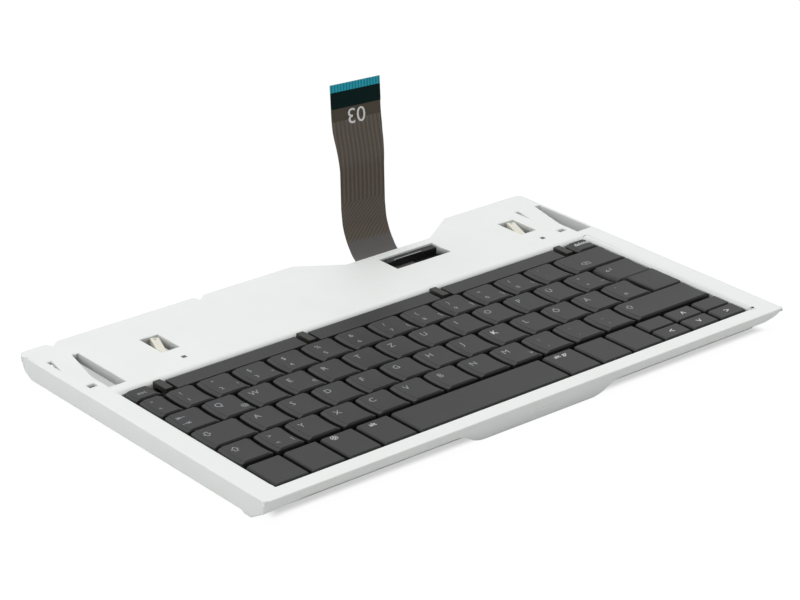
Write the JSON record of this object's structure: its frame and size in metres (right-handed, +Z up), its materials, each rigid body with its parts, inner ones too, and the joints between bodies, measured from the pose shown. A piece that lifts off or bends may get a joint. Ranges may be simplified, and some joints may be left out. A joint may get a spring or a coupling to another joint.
{
  "type": "printer keyboard assembly",
  "caption": "Slim slide-out keyboard for a printer: charcoal scissor keys set in a white moulded carrier tray with a rear shelf, catch arms and an upright flat flex tail.",
  "frame": {"origin": "middle of the footprint, the flex tail's overhang included, on the surface the tray rests on", "axes": "+X to the right along the front edge, +Y from the front edge to the rear shelf, +Z up"},
  "size_m": [0.274, 0.1728, 0.0868],
  "materials": {
    "tray_white": "fine satin texture",
    "catch_cream": "smooth",
    "plate_steel": "plain rolled sheet",
    "membrane_film": "clear film with printed traces",
    "dome_rubber": "matt",
    "link_plastic": "smooth",
    "key_charcoal": "fine satin texture",
    "latch_grey": "smooth",
    "tail_film": "smoked film over fine traces",
    "stiffener_green": "smooth",
    "clamp_black": "smooth",
    "screw_steel": "zinc plated"
  },
  "bodies": {
    "tray": {"carrier_tray": "tray_white", "left_catch_arm": "catch_cream", "right_catch_arm": "catch_cream", "keyboard_base_plate": "plate_steel", "membrane_sheet": "membrane_film", "dome_sheet": "dome_rubber", "scissor_links": "link_plastic", "fixed_key_units": "key_charcoal", "filler_bars": "key_charcoal", "latch_tabs": "latch_grey", "flex_tail": "tail_film", "tail_stiffener": "stiffener_green", "tail_clamp": "clamp_black", "screws": "screw_steel"},
    "key_left_shift": {"key_left_shift": "key_charcoal"},
    "key_less": {"key_less": "key_charcoal"},
    "key_y": {"key_y": "key_charcoal"},
    "key_x": {"key_x": "key_charcoal"},
    "key_c": {"key_c": "key_charcoal"},
    "key_v": {"key_v": "key_charcoal"},
    "key_b": {"key_b": "key_charcoal"},
    "key_n": {"key_n": "key_charcoal"},
    "key_m": {"key_m": "key_charcoal"},
    "key_comma": {"key_comma": "key_charcoal"},
    "key_dot": {"key_dot": "key_charcoal"},
    "key_dash": {"key_dash": "key_charcoal"},
    "key_right_shift": {"key_right_shift": "key_charcoal"},
    "key_caps_lock": {"key_caps_lock": "key_charcoal"},
    "key_a": {"key_a": "key_charcoal"},
    "key_s": {"key_s": "key_charcoal"},
    "key_d": {"key_d": "key_charcoal"},
    "key_f": {"key_f": "key_charcoal"},
    "key_g": {"key_g": "key_charcoal"},
    "key_h": {"key_h": "key_charcoal"},
    "key_j": {"key_j": "key_charcoal"},
    "key_k": {"key_k": "key_charcoal"},
    "key_l": {"key_l": "key_charcoal"},
    "key_oe": {"key_oe": "key_charcoal"},
    "key_ae": {"key_ae": "key_charcoal"},
    "key_hash": {"key_hash": "key_charcoal"},
    "key_tab": {"key_tab": "key_charcoal"},
    "key_q": {"key_q": "key_charcoal"},
    "key_w": {"key_w": "key_charcoal"},
    "key_e": {"key_e": "key_charcoal"},
    "key_r": {"key_r": "key_charcoal"},
    "key_t": {"key_t": "key_charcoal"},
    "key_z": {"key_z": "key_charcoal"},
    "key_u": {"key_u": "key_charcoal"},
    "key_i": {"key_i": "key_charcoal"},
    "key_o": {"key_o": "key_charcoal"},
    "key_p": {"key_p": "key_charcoal"},
    "key_ue": {"key_ue": "key_charcoal"},
    "key_plus": {"key_plus": "key_charcoal"},
    "key_enter": {"key_enter": "key_charcoal"},
    "key_space": {"key_space": "key_charcoal"},
    "key_left": {"key_left": "key_charcoal"},
    "key_up": {"key_up": "key_charcoal"},
    "key_down": {"key_down": "key_charcoal"},
    "key_right": {"key_right": "key_charcoal"},
    "key_backspace": {"key_backspace": "key_charcoal"}
  },
  "joints": [
    {"name": "key_left_shift_press", "type": "slide", "parent": "tray", "child": "key_left_shift", "axis": [0, 0, -1], "range_m": [0, 0.002], "stiffness_N_per_m": 250, "springref_m": -0.0012, "deforming": ["dome_sheet", "scissor_links"]},
    {"name": "key_less_press", "type": "slide", "parent": "tray", "child": "key_less", "axis": [0, 0, -1], "range_m": [0, 0.002], "stiffness_N_per_m": 250, "springref_m": -0.0012, "deforming": ["dome_sheet", "scissor_links"]},
    {"name": "key_y_press", "type": "slide", "parent": "tray", "child": "key_y", "axis": [0, 0, -1], "range_m": [0, 0.002], "stiffness_N_per_m": 250, "springref_m": -0.0012, "deforming": ["dome_sheet", "scissor_links"]},
    {"name": "key_x_press", "type": "slide", "parent": "tray", "child": "key_x", "axis": [0, 0, -1], "range_m": [0, 0.002], "stiffness_N_per_m": 250, "springref_m": -0.0012, "deforming": ["dome_sheet", "scissor_links"]},
    {"name": "key_c_press", "type": "slide", "parent": "tray", "child": "key_c", "axis": [0, 0, -1], "range_m": [0, 0.002], "stiffness_N_per_m": 250, "springref_m": -0.0012, "deforming": ["dome_sheet", "scissor_links"]},
    {"name": "key_v_press", "type": "slide", "parent": "tray", "child": "key_v", "axis": [0, 0, -1], "range_m": [0, 0.002], "stiffness_N_per_m": 250, "springref_m": -0.0012, "deforming": ["dome_sheet", "scissor_links"]},
    {"name": "key_b_press", "type": "slide", "parent": "tray", "child": "key_b", "axis": [0, 0, -1], "range_m": [0, 0.002], "stiffness_N_per_m": 250, "springref_m": -0.0012, "deforming": ["dome_sheet", "scissor_links"]},
    {"name": "key_n_press", "type": "slide", "parent": "tray", "child": "key_n", "axis": [0, 0, -1], "range_m": [0, 0.002], "stiffness_N_per_m": 250, "springref_m": -0.0012, "deforming": ["dome_sheet", "scissor_links"]},
    {"name": "key_m_press", "type": "slide", "parent": "tray", "child": "key_m", "axis": [0, 0, -1], "range_m": [0, 0.002], "stiffness_N_per_m": 250, "springref_m": -0.0012, "deforming": ["dome_sheet", "scissor_links"]},
    {"name": "key_comma_press", "type": "slide", "parent": "tray", "child": "key_comma", "axis": [0, 0, -1], "range_m": [0, 0.002], "stiffness_N_per_m": 250, "springref_m": -0.0012, "deforming": ["dome_sheet", "scissor_links"]},
    {"name": "key_dot_press", "type": "slide", "parent": "tray", "child": "key_dot", "axis": [0, 0, -1], "range_m": [0, 0.002], "stiffness_N_per_m": 250, "springref_m": -0.0012, "deforming": ["dome_sheet", "scissor_links"]},
    {"name": "key_dash_press", "type": "slide", "parent": "tray", "child": "key_dash", "axis": [0, 0, -1], "range_m": [0, 0.002], "stiffness_N_per_m": 250, "springref_m": -0.0012, "deforming": ["dome_sheet", "scissor_links"]},
    {"name": "key_right_shift_press", "type": "slide", "parent": "tray", "child": "key_right_shift", "axis": [0, 0, -1], "range_m": [0, 0.002], "stiffness_N_per_m": 250, "springref_m": -0.0012, "deforming": ["dome_sheet", "scissor_links"]},
    {"name": "key_caps_lock_press", "type": "slide", "parent": "tray", "child": "key_caps_lock", "axis": [0, 0, -1], "range_m": [0, 0.002], "stiffness_N_per_m": 250, "springref_m": -0.0012, "deforming": ["dome_sheet", "scissor_links"]},
    {"name": "key_a_press", "type": "slide", "parent": "tray", "child": "key_a", "axis": [0, 0, -1], "range_m": [0, 0.002], "stiffness_N_per_m": 250, "springref_m": -0.0012, "deforming": ["dome_sheet", "scissor_links"]},
    {"name": "key_s_press", "type": "slide", "parent": "tray", "child": "key_s", "axis": [0, 0, -1], "range_m": [0, 0.002], "stiffness_N_per_m": 250, "springref_m": -0.0012, "deforming": ["dome_sheet", "scissor_links"]},
    {"name": "key_d_press", "type": "slide", "parent": "tray", "child": "key_d", "axis": [0, 0, -1], "range_m": [0, 0.002], "stiffness_N_per_m": 250, "springref_m": -0.0012, "deforming": ["dome_sheet", "scissor_links"]},
    {"name": "key_f_press", "type": "slide", "parent": "tray", "child": "key_f", "axis": [0, 0, -1], "range_m": [0, 0.002], "stiffness_N_per_m": 250, "springref_m": -0.0012, "deforming": ["dome_sheet", "scissor_links"]},
    {"name": "key_g_press", "type": "slide", "parent": "tray", "child": "key_g", "axis": [0, 0, -1], "range_m": [0, 0.002], "stiffness_N_per_m": 250, "springref_m": -0.0012, "deforming": ["dome_sheet", "scissor_links"]},
    {"name": "key_h_press", "type": "slide", "parent": "tray", "child": "key_h", "axis": [0, 0, -1], "range_m": [0, 0.002], "stiffness_N_per_m": 250, "springref_m": -0.0012, "deforming": ["dome_sheet", "scissor_links"]},
    {"name": "key_j_press", "type": "slide", "parent": "tray", "child": "key_j", "axis": [0, 0, -1], "range_m": [0, 0.002], "stiffness_N_per_m": 250, "springref_m": -0.0012, "deforming": ["dome_sheet", "scissor_links"]},
    {"name": "key_k_press", "type": "slide", "parent": "tray", "child": "key_k", "axis": [0, 0, -1], "range_m": [0, 0.002], "stiffness_N_per_m": 250, "springref_m": -0.0012, "deforming": ["dome_sheet", "scissor_links"]},
    {"name": "key_l_press", "type": "slide", "parent": "tray", "child": "key_l", "axis": [0, 0, -1], "range_m": [0, 0.002], "stiffness_N_per_m": 250, "springref_m": -0.0012, "deforming": ["dome_sheet", "scissor_links"]},
    {"name": "key_oe_press", "type": "slide", "parent": "tray", "child": "key_oe", "axis": [0, 0, -1], "range_m": [0, 0.002], "stiffness_N_per_m": 250, "springref_m": -0.0012, "deforming": ["dome_sheet", "scissor_links"]},
    {"name": "key_ae_press", "type": "slide", "parent": "tray", "child": "key_ae", "axis": [0, 0, -1], "range_m": [0, 0.002], "stiffness_N_per_m": 250, "springref_m": -0.0012, "deforming": ["dome_sheet", "scissor_links"]},
    {"name": "key_hash_press", "type": "slide", "parent": "tray", "child": "key_hash", "axis": [0, 0, -1], "range_m": [0, 0.002], "stiffness_N_per_m": 250, "springref_m": -0.0012, "deforming": ["dome_sheet", "scissor_links"]},
    {"name": "key_tab_press", "type": "slide", "parent": "tray", "child": "key_tab", "axis": [0, 0, -1], "range_m": [0, 0.002], "stiffness_N_per_m": 250, "springref_m": -0.0012, "deforming": ["dome_sheet", "scissor_links"]},
    {"name": "key_q_press", "type": "slide", "parent": "tray", "child": "key_q", "axis": [0, 0, -1], "range_m": [0, 0.002], "stiffness_N_per_m": 250, "springref_m": -0.0012, "deforming": ["dome_sheet", "scissor_links"]},
    {"name": "key_w_press", "type": "slide", "parent": "tray", "child": "key_w", "axis": [0, 0, -1], "range_m": [0, 0.002], "stiffness_N_per_m": 250, "springref_m": -0.0012, "deforming": ["dome_sheet", "scissor_links"]},
    {"name": "key_e_press", "type": "slide", "parent": "tray", "child": "key_e", "axis": [0, 0, -1], "range_m": [0, 0.002], "stiffness_N_per_m": 250, "springref_m": -0.0012, "deforming": ["dome_sheet", "scissor_links"]},
    {"name": "key_r_press", "type": "slide", "parent": "tray", "child": "key_r", "axis": [0, 0, -1], "range_m": [0, 0.002], "stiffness_N_per_m": 250, "springref_m": -0.0012, "deforming": ["dome_sheet", "scissor_links"]},
    {"name": "key_t_press", "type": "slide", "parent": "tray", "child": "key_t", "axis": [0, 0, -1], "range_m": [0, 0.002], "stiffness_N_per_m": 250, "springref_m": -0.0012, "deforming": ["dome_sheet", "scissor_links"]},
    {"name": "key_z_press", "type": "slide", "parent": "tray", "child": "key_z", "axis": [0, 0, -1], "range_m": [0, 0.002], "stiffness_N_per_m": 250, "springref_m": -0.0012, "deforming": ["dome_sheet", "scissor_links"]},
    {"name": "key_u_press", "type": "slide", "parent": "tray", "child": "key_u", "axis": [0, 0, -1], "range_m": [0, 0.002], "stiffness_N_per_m": 250, "springref_m": -0.0012, "deforming": ["dome_sheet", "scissor_links"]},
    {"name": "key_i_press", "type": "slide", "parent": "tray", "child": "key_i", "axis": [0, 0, -1], "range_m": [0, 0.002], "stiffness_N_per_m": 250, "springref_m": -0.0012, "deforming": ["dome_sheet", "scissor_links"]},
    {"name": "key_o_press", "type": "slide", "parent": "tray", "child": "key_o", "axis": [0, 0, -1], "range_m": [0, 0.002], "stiffness_N_per_m": 250, "springref_m": -0.0012, "deforming": ["dome_sheet", "scissor_links"]},
    {"name": "key_p_press", "type": "slide", "parent": "tray", "child": "key_p", "axis": [0, 0, -1], "range_m": [0, 0.002], "stiffness_N_per_m": 250, "springref_m": -0.0012, "deforming": ["dome_sheet", "scissor_links"]},
    {"name": "key_ue_press", "type": "slide", "parent": "tray", "child": "key_ue", "axis": [0, 0, -1], "range_m": [0, 0.002], "stiffness_N_per_m": 250, "springref_m": -0.0012, "deforming": ["dome_sheet", "scissor_links"]},
    {"name": "key_plus_press", "type": "slide", "parent": "tray", "child": "key_plus", "axis": [0, 0, -1], "range_m": [0, 0.002], "stiffness_N_per_m": 250, "springref_m": -0.0012, "deforming": ["dome_sheet", "scissor_links"]},
    {"name": "key_enter_press", "type": "slide", "parent": "tray", "child": "key_enter", "axis": [0, 0, -1], "range_m": [0, 0.002], "stiffness_N_per_m": 250, "springref_m": -0.0012, "deforming": ["dome_sheet", "scissor_links"]},
    {"name": "key_space_press", "type": "slide", "parent": "tray", "child": "key_space", "axis": [0, 0, -1], "range_m": [0, 0.002], "stiffness_N_per_m": 250, "springref_m": -0.0012, "deforming": ["dome_sheet", "scissor_links"]},
    {"name": "key_left_press", "type": "slide", "parent": "tray", "child": "key_left", "axis": [0, 0, -1], "range_m": [0, 0.002], "stiffness_N_per_m": 250, "springref_m": -0.0012, "deforming": ["dome_sheet", "scissor_links"]},
    {"name": "key_up_press", "type": "slide", "parent": "tray", "child": "key_up", "axis": [0, 0, -1], "range_m": [0, 0.002], "stiffness_N_per_m": 250, "springref_m": -0.0012, "deforming": ["dome_sheet", "scissor_links"]},
    {"name": "key_down_press", "type": "slide", "parent": "tray", "child": "key_down", "axis": [0, 0, -1], "range_m": [0, 0.002], "stiffness_N_per_m": 250, "springref_m": -0.0012, "deforming": ["dome_sheet", "scissor_links"]},
    {"name": "key_right_press", "type": "slide", "parent": "tray", "child": "key_right", "axis": [0, 0, -1], "range_m": [0, 0.002], "stiffness_N_per_m": 250, "springref_m": -0.0012, "deforming": ["dome_sheet", "scissor_links"]},
    {"name": "key_backspace_press", "type": "slide", "parent": "tray", "child": "key_backspace", "axis": [0, 0, -1], "range_m": [0, 0.002], "stiffness_N_per_m": 250, "springref_m": -0.0012, "deforming": ["dome_sheet", "scissor_links"]}
  ]
}
